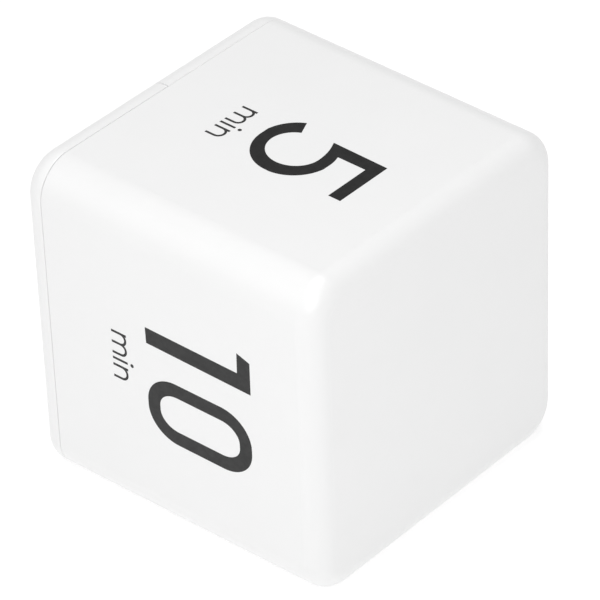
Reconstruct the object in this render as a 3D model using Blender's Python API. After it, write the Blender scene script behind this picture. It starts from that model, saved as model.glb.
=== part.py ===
"""Cube timer: a moulded cube that starts the countdown printed on whichever face is turned up.

Modelled in the mould frame. X runs from the display end (zero) to the blank end, and the four
number faces look along Y and Z. Every piece hangs on one empty, which tips the drafted housing
so that its lower number face lies level, with the bottom centre of the cube at the world origin.
"""

import math

import bmesh
import bpy
from mathutils import Matrix, Vector

MM = 0.001

# Housing. Its width over the number faces is worked out below, from what it holds
DEPTH = 62.5 * MM  # display end to blank end
DRAFT = math.radians(0.45)  # mould draft of each number face
EDGE_RADIUS = 7.0 * MM  # between two number faces
BLANK_END_RADIUS = 4.0 * MM
DISPLAY_END_RADIUS = 3.5 * MM
WALL = 2.0 * MM
PANEL = 1.8 * MM  # flat of the rear cover and of the battery door
SEAM_DEPTH = 4.2 * MM  # from the display end to the parting line
GAP = 0.3 * MM  # running and parting clearance between pieces
OVERRUN = 1.0 * MM  # how far a cutter passes the face it cuts
MERGE = 0.4 * MM  # how far two moulded shapes sink into each other before they are joined
ARC_STEPS = 7  # along each rounded corner
FILLET_STEPS = 6

# Lip and rebate between the shell and the rear cover
REBATE_WALL = 0.9 * MM
REBATE_DEPTH = 2.0 * MM
LIP_WALL = 1.4 * MM

# Snap hooks of the rear cover, behind its display half
HOOK_SPAN = 28.0 * MM  # between the two hooks
HOOK_WIDTH = 6.0 * MM
HOOK_ARM = 1.2 * MM
HOOK_NOSE = 0.8 * MM
HOOK_NOSE_LENGTH = 1.5 * MM
HOOK_REACH = 4.5 * MM  # from the end of the lip to the end of the nose

# Screw posts of the shell
POST_SPAN = 24.0 * MM
POST_TIP_RADIUS = 3.0 * MM
POST_ROOT_RADIUS = 3.6 * MM
POST_HOLE_DEPTH = 11.0 * MM
GUSSET_HEIGHT = 16.0 * MM
GUSSET_REACH = 4.0 * MM  # past the root of the post
GUSSET_THICK = 1.2 * MM

# Cells, size AAA
CELL_RADIUS = 5.25 * MM
CELL_LENGTH = 44.5 * MM  # with the nub
NUB_RADIUS = 1.9 * MM
NUB_LENGTH = 1.0 * MM
CRIMP = 0.5 * MM
CELL_SPACE = 0.7 * MM  # between the two cells
CELL_COVER = 1.5 * MM  # from the inside of the door to the cells

# Battery tray of the rear cover
TRAY_WALL = 1.4 * MM
TRAY_SIDE_ROOM = 0.65 * MM  # beside the cells
TRAY_SPLIT_ROOM = 4.0 * MM  # from the split of the display end to the inside of the tray
TRAY_CORNER_ROOM = 1.35 * MM  # from the outside of the tray to the shell
SADDLE_THICK = 1.5 * MM
SADDLE_RISE = 2.6 * MM
KEEPER = 1.0 * MM  # square ribs that hold the contact plates against the tray's ends

# Battery door and its slide
RAIL_THICK = 1.0 * MM
RAIL_REACH = 1.6 * MM
RAIL_ROOM = 0.75 * MM  # from the end of a rail to the inside of the door's rim
CATCH_FREE = 3.0 * MM  # from the split of the display end to the catches
CATCH_STEP = 0.1 * MM  # from the edge of the door's rim to its catches
CATCH_GRIP = 1.0 * MM  # how far a catch reaches under its rail
TONGUE_THICK = 0.8 * MM
TONGUE_WIDTH = 8.0 * MM
TONGUE_REACH = 1.4 * MM
TONGUE_SPAN = 34.0 * MM
GRIP_RIBS = 5
GRIP_PITCH = 1.6 * MM
GRIP_WIDTH = 0.8 * MM
GRIP_DEPTH = 0.4 * MM
GRIP_LENGTH = 14.0 * MM
GRIP_EDGE = 6.0 * MM  # from the outside of the door to the first groove
FOAM_THICK = 0.6 * MM
FOAM_LENGTH = 30.0 * MM
FOAM_WIDTH = 16.0 * MM

# Contacts
PLATE = 0.4 * MM
PLATE_WIDTH = 8.0 * MM
PLATE_HEIGHT = 8.4 * MM
DIMPLE_RADIUS = 1.6 * MM
DIMPLE_RISE = 0.5 * MM
TAB_WIDTH = 2.4 * MM
TAB_TAIL = 2.4 * MM  # past the back of the tray
SPRING_WIRE = 0.5 * MM
SPRING_WIDE = 3.2 * MM
SPRING_NARROW = 2.2 * MM
SPRING_LENGTH = 4.7 * MM  # as fitted
SPRING_TURNS = 3.5
SPRING_POINTS_PER_TURN = 10
LEAD_RADIUS = 0.6 * MM
RED_ARCH = 5.0 * MM  # how far each lead rises behind the tray
RED_LANDING = 11.8 * MM  # from the end of the board to where it is soldered
BLACK_ARCH = 2.5 * MM
BLACK_LANDING = 16.8 * MM
LEAD_STEPS = 5  # along each stretch between a lead's own points

# Circuit board
BOARD = 1.2 * MM
BOARD_MARGIN = 3.1 * MM  # past the sides of the display's bezel
BOARD_END_ROOM = 1.95 * MM  # from the ends of the board to the shell
BOARD_SIDE_ROOM = 2.15 * MM
BOARD_EDGE = 3.0 * MM  # from the split of the display end
BOARD_FACE = 8.5 * MM  # from the display end
BOARD_CORNER = 2.0 * MM
BOSS_RADIUS = 2.5 * MM
BOSS_INSET = 3.2 * MM  # from the board's edges to its screws

# Display
LENS = 1.0 * MM
LENS_LEDGE = 1.2 * MM  # how far the lens reaches past the window
WINDOW_LENGTH = 30.0 * MM
WINDOW_WIDTH = 12.0 * MM
GLASS = 2.2 * MM
GLASS_MARGIN = 2.0 * MM  # glass past the window
BEZEL_WALL = 0.9 * MM
ELASTOMER_WIDTH = 1.6 * MM
ELASTOMER_LENGTH = 28.0 * MM

# Power switch
SWITCH_LENGTH = 9.0 * MM
SWITCH_WIDTH = 4.4 * MM
SWITCH_TRAVEL = 2.0 * MM
LEVER = 1.6 * MM
LEVER_REACH = 2.0 * MM  # out of the switch body
KNOB_LENGTH = 4.0 * MM
KNOB_WIDTH = 3.0 * MM
KNOB_FLANGE = 1.4 * MM
KNOB_FLANGE_LAP = 2.2 * MM  # past the ends of the slot in the cover
KNOB_FLANGE_SIDE_LAP = 0.8 * MM
KNOB_DEPTH = 0.4 * MM  # below the display end
KNOB_GRIPS = 3
KNOB_GRIP = 0.5 * MM

# Buzzer and its sound holes
BUZZER_RADIUS = 4.5 * MM
BUZZER_HEIGHT = 5.5 * MM
BUZZER_MOUTH = 1.0 * MM
SOUND_HOLE = 0.7 * MM
SOUND_HOLE_PITCH = 2.4 * MM
SOUND_HOLES = 6

# Parts on the back of the board
CHIP_RADIUS = 4.5 * MM
CHIP_HEIGHT = 1.6 * MM
CRYSTAL_RADIUS = 1.05 * MM
CRYSTAL_LENGTH = 6.2 * MM
CAPACITOR_RADIUS = 2.0 * MM
CAPACITOR_HEIGHT = 5.4 * MM
CAPACITOR_PLACE = 4.0 * MM  # from the middle of the board to the first of the two
CAPACITOR_PITCH = 6.0 * MM

# Tilt sensor
SENSOR = 11.0 * MM
SENSOR_DEPTH = 5.4 * MM
SENSOR_FLOOR = 1.0 * MM
SENSOR_CAP = 1.2 * MM
CHAMBER = 7.0 * MM  # side of the square chamber, which stands on its corner
BALL_RADIUS = 1.75 * MM
BALL_CLEARANCE = 0.15 * MM
PIN_RADIUS = 0.3 * MM
PIN_SPAN = 8.4 * MM
PIN_LENGTH = 3.2 * MM

# Screws
COVER_HEAD_RADIUS = 2.5 * MM
COVER_HEAD_RISE = 1.5 * MM
COVER_SHANK_RADIUS = 1.1 * MM
COVER_SCREW_LENGTH = 10.0 * MM
BOARD_HEAD_RADIUS = 1.9 * MM
BOARD_HEAD_RISE = 1.2 * MM
BOARD_SHANK_RADIUS = 0.9 * MM
BOARD_SCREW_LENGTH = 6.0 * MM
DRIVE_SHARE = 0.6  # share of the head's height that the driver slot takes
THREAD_ROOM = 0.2 * MM

# What the cube holds side by side, each from the split or the middle out to the shell's outside
CELL_PITCH = 2 * CELL_RADIUS + CELL_SPACE
PLATE_ROOM = PLATE + GAP
TRAY_LENGTH = CELL_LENGTH + SPRING_LENGTH + DIMPLE_RISE + 2 * PLATE_ROOM + 3 * GAP
TRAY_WIDTH = CELL_PITCH + 2 * CELL_RADIUS + 2 * TRAY_SIDE_ROOM
BEZEL_MARGIN = GLASS_MARGIN + GAP + BEZEL_WALL
BEZEL_END = WINDOW_LENGTH / 2 + BEZEL_MARGIN
BOARD_LENGTH = 2 * (BEZEL_END + 2 * BUZZER_RADIUS + 2 * GAP)
BOARD_WIDTH = WINDOW_WIDTH + 2 * (BEZEL_MARGIN + BOARD_MARGIN)
TRAY_END_NEED = TRAY_LENGTH / 2 + TRAY_WALL + RAIL_REACH + RAIL_ROOM + WALL
TRAY_SIDE_NEED = TRAY_SPLIT_ROOM + TRAY_WIDTH + TRAY_WALL + TRAY_CORNER_ROOM + WALL
BOARD_END_NEED = BOARD_LENGTH / 2 + BOARD_END_ROOM + WALL
BOARD_SIDE_NEED = BOARD_EDGE + BOARD_WIDTH + BOARD_SIDE_ROOM + WALL

# The width over the number faces at the display end comes to 63.5 mm, two and a half inches
HALF = max(TRAY_END_NEED, TRAY_SIDE_NEED, BOARD_END_NEED, BOARD_SIDE_NEED)
ACROSS = 2 * HALF

# Places worked out from the sizes above
SHELL_EDGE = SEAM_DEPTH + GAP
LIP_INSET = REBATE_WALL + GAP
LIP_END = SHELL_EDGE + REBATE_DEPTH - GAP
RAIL_TOP = PANEL + GAP
RAIL_START = EDGE_RADIUS - HALF
WALL_TOP = RAIL_TOP + RAIL_THICK / 2
CATCH_TOP = RAIL_TOP + RAIL_THICK + GAP
CELL_AXIS = PANEL + CELL_COVER + CELL_RADIUS
TRAY_FLOOR = CELL_AXIS + CELL_RADIUS + GAP
TRAY_BACK = TRAY_FLOOR + TRAY_WALL
TRAY_LEFT = WALL + TRAY_CORNER_ROOM + TRAY_WALL - HALF
CELL_Y = (
    TRAY_LEFT + TRAY_SIDE_ROOM + CELL_RADIUS,
    TRAY_LEFT + TRAY_SIDE_ROOM + CELL_RADIUS + CELL_PITCH,
)
TRAY_RIGHT = CELL_Y[1] + CELL_RADIUS + TRAY_SIDE_ROOM
TRAY_TOP = PANEL + CELL_COVER
TRAY_END = TRAY_LENGTH / 2
SCREW_SEAT = TRAY_FLOOR + COVER_HEAD_RISE + GAP
SCREW_BOSS_BACK = SCREW_SEAT + TRAY_WALL
POST_TIP = SCREW_BOSS_BACK + GAP
POST_Y = (CELL_Y[0] + CELL_Y[1]) / 2
PARTITION = (GAP / 2, GAP / 2 + TRAY_WALL)
DOOR_EDGE = -GAP / 2
BOARD_Y = (BOARD_EDGE, BOARD_EDGE + BOARD_WIDTH)
BOARD_MID = (BOARD_Y[0] + BOARD_Y[1]) / 2
BOARD_BACK = BOARD_FACE + BOARD
SIDE_STATION = BEZEL_END + GAP + BUZZER_RADIUS  # of the buzzer and the switch, from the middle
SADDLE_SPAN = POST_SPAN + 2 * (COVER_HEAD_RADIUS + 2 * GAP) + SADDLE_THICK
BACK_SEAT = BOARD_BACK + GAP
FRONT_SEAT = BOARD_FACE - GAP
PLATE_Z = TRAY_END - PLATE_ROOM + PLATE / 2
CELL_SHIFT = PLATE_Z - PLATE / 2 - DIMPLE_RISE - GAP - CELL_LENGTH / 2

MATERIALS = {
    "white_abs": ((0.88, 0.88, 0.87), 0.28, 0.0),
    "clear_acrylic": ((0.75, 0.78, 0.78), 0.08, 0.0),
    "display_glass": ((0.42, 0.46, 0.40), 0.15, 0.0),
    "black_abs": ((0.02, 0.02, 0.02), 0.45, 0.0),
    "elastomer": ((0.35, 0.08, 0.10), 0.7, 0.0),
    "board_laminate": ((0.02, 0.16, 0.07), 0.4, 0.0),
    "epoxy": ((0.01, 0.01, 0.012), 0.35, 0.0),
    "tinned_steel": ((0.72, 0.72, 0.73), 0.25, 1.0),
    "cell_sleeve": ((0.10, 0.11, 0.13), 0.35, 0.0),
    "foam": ((0.07, 0.07, 0.08), 0.95, 0.0),
    "red_pvc": ((0.55, 0.02, 0.02), 0.4, 0.0),
    "black_pvc": ((0.02, 0.02, 0.02), 0.4, 0.0),
    "grey_abs": ((0.35, 0.36, 0.37), 0.4, 0.0),
}


# Shapes

def clear_scene():
    for item in list(bpy.data.objects):
        bpy.data.objects.remove(item, do_unlink=True)


def add_materials():
    for name, (colour, roughness, metallic) in MATERIALS.items():
        material = bpy.data.materials.new(name)
        material.use_nodes = True
        shader = material.node_tree.nodes["Principled BSDF"]
        shader.inputs["Base Color"].default_value = (*colour, 1.0)
        shader.inputs["Roughness"].default_value = roughness
        shader.inputs["Metallic"].default_value = metallic


def add_object(name, data, material):
    data.materials.append(bpy.data.materials[material])
    item = bpy.data.objects.new(name, data)
    bpy.context.scene.collection.objects.link(item)
    return item


def loft(name, rings, material="white_abs"):
    """A closed body skinned over rings of as many points each, with a flat cap at both ends."""
    mesh = bmesh.new()
    rows = [[mesh.verts.new(point) for point in ring] for ring in rings]
    for lower, upper in zip(rows, rows[1:]):
        for index in range(len(lower)):
            following = (index + 1) % len(lower)
            mesh.faces.new((lower[index], lower[following], upper[following], upper[index]))
    mesh.faces.new(rows[0])
    mesh.faces.new(rows[-1])
    bmesh.ops.recalc_face_normals(mesh, faces=mesh.faces)
    data = bpy.data.meshes.new(name)
    mesh.to_mesh(data)
    mesh.free()
    return add_object(name, data, material)


def rounded(x, half_y, half_z, radius, centre=(0.0, 0.0)):
    """A rounded rectangle across X."""
    points = []
    for turn, (side_y, side_z) in enumerate(((1, 1), (-1, 1), (-1, -1), (1, -1))):
        for step in range(ARC_STEPS + 1):
            angle = math.pi / 2 * (turn + step / ARC_STEPS)
            points.append(
                (
                    x,
                    centre[0] + side_y * (half_y - radius) + radius * math.cos(angle),
                    centre[1] + side_z * (half_z - radius) + radius * math.sin(angle),
                )
            )
    return points


def skin(x, inset):
    """The housing's section at x, set in from its outer face."""
    half = HALF - math.tan(DRAFT) * x - inset
    return rounded(x, half, half, EDGE_RADIUS - min(inset, EDGE_RADIUS - MERGE))


def rounded_end(end, radius, inset, facing):
    """Sections of the rounding at one end, from the straight wall to the flat, or the other way."""
    sections = []
    for step in range(FILLET_STEPS + 1):
        angle = math.pi / 2 * step / FILLET_STEPS
        x = end - facing * radius * (1 - math.sin(angle))
        sections.append(skin(x, inset + radius * (1 - math.cos(angle))))
    return sections if facing > 0 else sections[::-1]


def box(name, x, y, z, material="white_abs"):
    ends = [[(at, y[0], z[0]), (at, y[1], z[0]), (at, y[1], z[1]), (at, y[0], z[1])] for at in x]
    return loft(name, ends, material)


def block(name, x, centre, size, material="white_abs"):
    """A box across X, given by its middle and its size in Y and Z."""
    spans = [(middle - width / 2, middle + width / 2) for middle, width in zip(centre, size)]
    return box(name, x, spans[0], spans[1], material)


def extrusion(name, outline, span, material="white_abs"):
    """An outline of (x, y) points drawn out along Z."""
    return loft(name, [[(x, y, z) for x, y in outline] for z in span], material)


def round_bar(name, profile, centre, material="white_abs", axis="X", sides=20):
    """A turned body: its profile is radii at places along the axis."""
    rings = []
    for along, radius in profile:
        ring = []
        for step in range(sides):
            angle = math.tau * step / sides
            first = centre[0] + radius * math.cos(angle)
            second = centre[1] + radius * math.sin(angle)
            ring.append((along, first, second) if axis == "X" else (first, second, along))
        rings.append(ring)
    return loft(name, rings, material)


def combine(target, operation, tools):
    """Joins the tools to the target, or cuts them from it, and removes them."""
    for tool in tools:
        modifier = target.modifiers.new(tool.name, "BOOLEAN")
        modifier.object = tool
        modifier.operation = operation
        modifier.solver = "EXACT"
        graph = bpy.context.evaluated_depsgraph_get()
        data = bpy.data.meshes.new_from_object(target.evaluated_get(graph))
        target.modifiers.clear()
        target.data = data
        bpy.data.objects.remove(tool, do_unlink=True)
    return target


def join(target, *tools):
    return combine(target, "UNION", tools)


def cut(target, *tools):
    return combine(target, "DIFFERENCE", tools)


def keep(target, tool):
    return combine(target, "INTERSECT", [tool])


def tube(name, points, radius, material, resolution=1):
    """A round wire along the points, with closed ends."""
    data = bpy.data.curves.new(name, "CURVE")
    data.dimensions = "3D"
    data.bevel_depth = radius
    data.bevel_resolution = resolution
    data.use_fill_caps = True
    spline = data.splines.new("POLY")
    spline.points.add(len(points) - 1)
    for target, point in zip(spline.points, points):
        target.co = (*point, 1.0)
    return add_object(name, data, material)


def least_gap(points, radius, apart):
    """The least room between a wire's own turns, measured on points at least apart along it."""
    centres = [Vector(point) for point in points]
    pairs = [
        (centres[first] - centres[second]).length
        for first in range(len(centres))
        for second in range(first + apart, len(centres))
    ]
    return min(pairs) - 2 * radius


# Housing

def gusset(name, side, angle):
    """One fin between the root of a screw post and the blank end."""
    tip = (DEPTH - WALL - GUSSET_HEIGHT, POST_TIP_RADIUS - MERGE)
    root = (DEPTH - WALL + MERGE, POST_ROOT_RADIUS + GUSSET_REACH)
    inner = (DEPTH - WALL + MERGE, POST_TIP_RADIUS - MERGE)
    rings = []
    for across in (-GUSSET_THICK / 2, GUSSET_THICK / 2):
        ring = []
        for x, out in (tip, root, inner):
            y = POST_Y + out * math.cos(angle) - across * math.sin(angle)
            z = side * POST_SPAN / 2 + out * math.sin(angle) + across * math.cos(angle)
            ring.append((x, y, z))
        rings.append(ring)
    return loft(name, rings)


def make_shell():
    shell = loft(
        "housing_shell",
        [skin(SHELL_EDGE, 0.0), *rounded_end(DEPTH, BLANK_END_RADIUS, 0.0, 1)],
    )
    cavity = loft(
        "cavity",
        [
            skin(SHELL_EDGE - OVERRUN, WALL),
            *rounded_end(DEPTH - WALL, BLANK_END_RADIUS - WALL, WALL, 1),
        ],
    )
    rebate = loft(
        "rebate",
        [
            skin(SHELL_EDGE - OVERRUN, REBATE_WALL),
            skin(SHELL_EDGE + REBATE_DEPTH, REBATE_WALL),
        ],
    )
    cut(shell, cavity, rebate)
    nose_end = LIP_END + HOOK_REACH
    for side in (-1, 1):
        centre = (POST_Y, side * POST_SPAN / 2)
        profile = [(POST_TIP, POST_TIP_RADIUS), (DEPTH - WALL + MERGE, POST_ROOT_RADIUS)]
        join(shell, round_bar("post", profile, centre))
        join(shell, *[gusset("gusset", side, math.pi / 2 * turn) for turn in range(4)])
        radius = COVER_SHANK_RADIUS + THREAD_ROOM
        hole = [(POST_TIP - OVERRUN, radius), (POST_TIP + POST_HOLE_DEPTH, radius)]
        cut(shell, round_bar("post_hole", hole, centre, sides=12))
        pocket_y = HALF - WALL - HOOK_NOSE
        pocket = box(
            "hook_pocket",
            (nose_end - HOOK_NOSE_LENGTH - GAP, nose_end + GAP),
            (pocket_y, pocket_y + HOOK_NOSE + GAP),
            (side * HOOK_SPAN / 2 - HOOK_WIDTH / 2 - GAP, side * HOOK_SPAN / 2 + HOOK_WIDTH / 2 + GAP),
        )
        cut(shell, pocket)
    return shell


# Rear cover

def make_cover_frame():
    """The display half with its rim and lip, and the deck that closes the housing under the door."""
    cover = loft(
        "rear_cover",
        [*rounded_end(0.0, DISPLAY_END_RADIUS, 0.0, -1), skin(SEAM_DEPTH, 0.0)],
    )
    join(cover, loft("deck", [skin(PANEL, LIP_INSET), skin(LIP_END, LIP_INSET)]))
    room = loft("room", [skin(x, LIP_INSET + LIP_WALL) for x in (PANEL, LIP_END + OVERRUN)])
    side = box("side", (0.0, LIP_END + 2 * OVERRUN), (PARTITION[1], ACROSS), (-ACROSS, ACROSS))
    door_space = box("door_space", (-OVERRUN, SHELL_EDGE), (-ACROSS, PARTITION[0]), (-ACROSS, ACROSS))
    return cut(cover, keep(room, side), door_space)


def add_tray(cover):
    wall_y = (TRAY_LEFT - TRAY_WALL, TRAY_RIGHT + TRAY_WALL)
    wall_end = TRAY_END + TRAY_WALL
    join(cover, box("tray", (WALL_TOP, TRAY_BACK), wall_y, (-wall_end, wall_end)))
    for side in (-1, 1):
        rail_z = sorted((side * (TRAY_END + MERGE), side * (wall_end + RAIL_REACH)))
        rail_y = (RAIL_START + MERGE, TRAY_RIGHT)
        join(cover, box("rail", (RAIL_TOP, RAIL_TOP + RAIL_THICK), rail_y, rail_z))
        boss = [(TRAY_BACK - MERGE, POST_TIP_RADIUS), (SCREW_BOSS_BACK, POST_TIP_RADIUS)]
        join(cover, round_bar("screw_boss", boss, (POST_Y, side * POST_SPAN / 2)))
    above = RAIL_TOP - OVERRUN
    bay = box("bay", (above, TRAY_FLOOR), (TRAY_LEFT, TRAY_RIGHT), (-TRAY_END, TRAY_END))
    side_tops = box(
        "side_tops",
        (above, TRAY_TOP),
        (wall_y[0] - OVERRUN, wall_y[1] + OVERRUN),
        (MERGE - TRAY_END, TRAY_END - MERGE),
    )
    corner_tops = box(
        "corner_tops",
        (above, TRAY_TOP),
        (wall_y[0] - OVERRUN, RAIL_START),
        (-wall_end - OVERRUN, wall_end + OVERRUN),
    )
    cut(cover, bay, side_tops, corner_tops)
    for side in (-1, 1):
        centre = (POST_Y, side * POST_SPAN / 2)
        head = COVER_HEAD_RADIUS + GAP
        shank = COVER_SHANK_RADIUS + GAP
        recess = [(TRAY_FLOOR - OVERRUN, head), (SCREW_SEAT, head)]
        hole = [(SCREW_SEAT - OVERRUN, shank), (SCREW_BOSS_BACK + OVERRUN, shank)]
        cut(cover, round_bar("head_recess", recess, centre), round_bar("hole", hole, centre, sides=12))
    add_saddles(cover)
    add_contact_keepers(cover)


def add_saddles(cover):
    """Two cross ribs on the tray's floor, hollowed to carry the cells."""
    for side in (-1, 1):
        middle = side * SADDLE_SPAN / 2
        saddle = box(
            "saddle",
            (TRAY_FLOOR - SADDLE_RISE, TRAY_FLOOR + MERGE),
            (TRAY_LEFT - MERGE, TRAY_RIGHT + MERGE),
            (middle - SADDLE_THICK / 2, middle + SADDLE_THICK / 2),
        )
        ends = (middle - SADDLE_THICK, middle + SADDLE_THICK)
        for cell_y in CELL_Y:
            profile = [(end, CELL_RADIUS + GAP) for end in ends]
            cut(saddle, round_bar("cell_room", profile, (CELL_AXIS, cell_y), axis="Z", sides=32))
        join(cover, saddle)


def add_contact_keepers(cover):
    """Ribs that hold each contact plate, and the slots that its tab leaves by."""
    for side in (-1, 1):
        inner = side * (PLATE_Z - PLATE / 2 - GAP - KEEPER / 2)
        for edge_y, facing in ((TRAY_LEFT, 1), (TRAY_RIGHT, -1)):
            rib_y = sorted((edge_y - facing * MERGE, edge_y + facing * KEEPER))
            rib_z = (inner - KEEPER / 2, inner + KEEPER / 2)
            join(cover, box("keeper", (CELL_AXIS - KEEPER, TRAY_FLOOR + MERGE), rib_y, rib_z))
    for cell_y in CELL_Y:
        slot = block(
            "tab_slot",
            (TRAY_FLOOR - OVERRUN, TRAY_BACK + OVERRUN),
            (cell_y, PLATE_Z),
            (TAB_WIDTH + 2 * GAP, PLATE + 2 * GAP),
        )
        cut(cover, slot)


def add_board_bosses(cover):
    for centre in board_screw_places():
        boss = [(PANEL - MERGE, BOSS_RADIUS), (FRONT_SEAT, BOSS_RADIUS)]
        radius = BOARD_SHANK_RADIUS + THREAD_ROOM
        end = BACK_SEAT - BOARD_SCREW_LENGTH - GAP
        hole = [(end, radius), (FRONT_SEAT + OVERRUN, radius)]
        join(cover, round_bar("board_boss", boss, centre, sides=16))
        cut(cover, round_bar("boss_hole", hole, centre, sides=12))


def add_cover_openings(cover):
    window = block(
        "window",
        (-OVERRUN, PANEL + OVERRUN),
        (BOARD_MID, 0.0),
        (WINDOW_WIDTH, WINDOW_LENGTH),
    )
    ledge = 2 * (LENS_LEDGE + GAP)
    recess = block(
        "lens_recess",
        (-OVERRUN, LENS + GAP),
        (BOARD_MID, 0.0),
        (WINDOW_WIDTH + ledge, WINDOW_LENGTH + ledge),
    )
    slot = block(
        "switch_slot",
        (-OVERRUN, PANEL + OVERRUN),
        (BOARD_MID, -SIDE_STATION),
        (KNOB_LENGTH + SWITCH_TRAVEL + 2 * GAP, KNOB_WIDTH + 2 * GAP),
    )
    cut(cover, window, recess, slot)
    for index in range(SOUND_HOLES + 1):
        angle = math.tau * index / SOUND_HOLES
        out = 0.0 if index == SOUND_HOLES else SOUND_HOLE_PITCH
        centre = (BOARD_MID + out * math.cos(angle), SIDE_STATION + out * math.sin(angle))
        profile = [(-OVERRUN, SOUND_HOLE), (PANEL + OVERRUN, SOUND_HOLE)]
        cut(cover, round_bar("sound_hole", profile, centre, sides=8))


def add_hooks_and_slots(cover):
    """Snap hooks into the shell's wall, and slots for the battery door's tongues."""
    end = LIP_END + HOOK_REACH
    start = end - HOOK_NOSE_LENGTH
    face = HALF - WALL - GAP
    nose = face + HOOK_NOSE - GAP
    outline = (
        (LIP_END - REBATE_DEPTH, face - HOOK_ARM),
        (end, face - HOOK_ARM),
        (end, face),
        (start + HOOK_NOSE_LENGTH / 2, nose),
        (start, nose),
        (start, face),
        (LIP_END - REBATE_DEPTH, face),
    )
    for side in (-1, 1):
        middle = side * HOOK_SPAN / 2
        span = (middle - HOOK_WIDTH / 2, middle + HOOK_WIDTH / 2)
        join(cover, extrusion("hook", outline, span))
        slot = block(
            "tongue_slot",
            (RAIL_TOP - GAP, RAIL_TOP + TONGUE_THICK + GAP),
            ((PARTITION[0] + PARTITION[1]) / 2, side * TONGUE_SPAN / 2),
            (TRAY_WALL + 2 * OVERRUN, TONGUE_WIDTH + 2 * GAP),
        )
        cut(cover, slot)


def make_rear_cover():
    cover = make_cover_frame()
    add_tray(cover)
    add_board_bosses(cover)
    add_cover_openings(cover)
    add_hooks_and_slots(cover)
    return cover


# Battery door

def make_battery_door():
    door = loft(
        "battery_door",
        [*rounded_end(0.0, DISPLAY_END_RADIUS, 0.0, -1), skin(SEAM_DEPTH, 0.0)],
    )
    keep(
        door,
        box("half", (-OVERRUN, SEAM_DEPTH + OVERRUN), (-ACROSS, DOOR_EDGE), (-ACROSS, ACROSS)),
    )
    cut(door, loft("pocket", [skin(PANEL, WALL), skin(SEAM_DEPTH + OVERRUN, WALL)]))
    for side in (-1, 1):
        rim = HALF - WALL
        catch_z = sorted((side * (rim + MERGE), side * (TRAY_END + TRAY_WALL + RAIL_REACH - CATCH_GRIP)))
        catch_y = (RAIL_START, DOOR_EDGE - CATCH_FREE)
        tongue = block(
            "tongue",
            (PANEL - MERGE, RAIL_TOP + TONGUE_THICK),
            (DOOR_EDGE, side * TONGUE_SPAN / 2),
            (2 * TONGUE_REACH, TONGUE_WIDTH),
        )
        relief = box(
            "tongue_relief",
            (PANEL - OVERRUN, RAIL_TOP),
            (DOOR_EDGE - MERGE, DOOR_EDGE + 2 * TONGUE_REACH),
            (-ACROSS, ACROSS),
        )
        cut(tongue, relief)
        catch_x = (CATCH_TOP, SEAM_DEPTH - CATCH_STEP)
        join(door, box("catch", catch_x, catch_y, catch_z), tongue)
    for index in range(GRIP_RIBS):
        y = -HALF + GRIP_EDGE + GRIP_PITCH * index
        groove = block("groove", (-OVERRUN, GRIP_DEPTH), (y, 0.0), (GRIP_WIDTH, GRIP_LENGTH))
        cut(door, groove)
    return door


def make_foam():
    return block(
        "door_foam",
        (RAIL_TOP, RAIL_TOP + FOAM_THICK),
        (POST_Y, 0.0),
        (FOAM_WIDTH, FOAM_LENGTH),
        "foam",
    )


# Battery bay

def make_cell(name, cell_y, facing):
    """One cell along Z, its nub towards facing."""
    middle = facing * CELL_SHIFT
    low = -CELL_LENGTH / 2
    shoulder = CELL_LENGTH / 2 - NUB_LENGTH
    profile = [
        (low, CELL_RADIUS - CRIMP),
        (low + CRIMP, CELL_RADIUS),
        (shoulder - CRIMP, CELL_RADIUS),
        (shoulder, CELL_RADIUS - CRIMP),
        (shoulder, NUB_RADIUS),
        (CELL_LENGTH / 2, NUB_RADIUS),
    ]
    placed = [(middle + facing * along, radius) for along, radius in profile]
    return round_bar(name, placed, (CELL_AXIS, cell_y), "cell_sleeve", axis="Z", sides=24)


def contact_plate(name, centre_y, width, side, tabs):
    """A sprung steel plate against one end of the tray."""
    span = (side * PLATE_Z - PLATE / 2, side * PLATE_Z + PLATE / 2)
    top = CELL_AXIS - PLATE_HEIGHT / 2
    foot = CELL_AXIS + PLATE_HEIGHT / 2
    left = centre_y - width / 2
    right = centre_y + width / 2
    outline = [(foot, right), (top, right), (top, left), (foot, left)]
    for tab_y in tabs:
        tail = TRAY_BACK + TAB_TAIL
        for x, y in ((foot, -1), (tail, -1), (tail, 1), (foot, 1)):
            outline.append((x, tab_y + y * TAB_WIDTH / 2))
    return extrusion(name, outline, span, "tinned_steel")


def add_dimple(plate, cell_y, side):
    face = side * (PLATE_Z - PLATE / 2)
    profile = [
        (face + side * PLATE / 2, DIMPLE_RADIUS),
        (face, DIMPLE_RADIUS),
        (face - side * DIMPLE_RISE, DIMPLE_RADIUS / 2),
    ]
    return join(plate, round_bar("dimple", profile, (CELL_AXIS, cell_y), axis="Z", sides=12))


def make_spring(name, cell_y, side):
    """A conical spring from its plate to the flat end of a cell."""
    cell_end = CELL_LENGTH / 2 - CELL_SHIFT
    start = PLATE_Z - PLATE / 2 - GAP
    finish = cell_end + GAP
    lead = SPRING_WIRE
    count = round(SPRING_TURNS * SPRING_POINTS_PER_TURN)
    points = [(CELL_AXIS + SPRING_WIDE, cell_y, side * start)]
    for index in range(count + 1):
        share = index / count
        angle = math.tau * SPRING_TURNS * share
        radius = SPRING_WIDE + (SPRING_NARROW - SPRING_WIDE) * share
        along = start - lead + (finish - start + 2 * lead) * share
        points.append(
            (
                CELL_AXIS + radius * math.cos(angle),
                cell_y + radius * math.sin(angle),
                side * along,
            )
        )
    points.append((points[-1][0], points[-1][1], side * finish))
    room = least_gap(points[1:-1], SPRING_WIRE / 2, SPRING_POINTS_PER_TURN // 2)
    print(f"{name}: least room between turns {room / MM:.2f} mm")
    return tube(name, points, SPRING_WIRE / 2, "tinned_steel")


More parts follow.
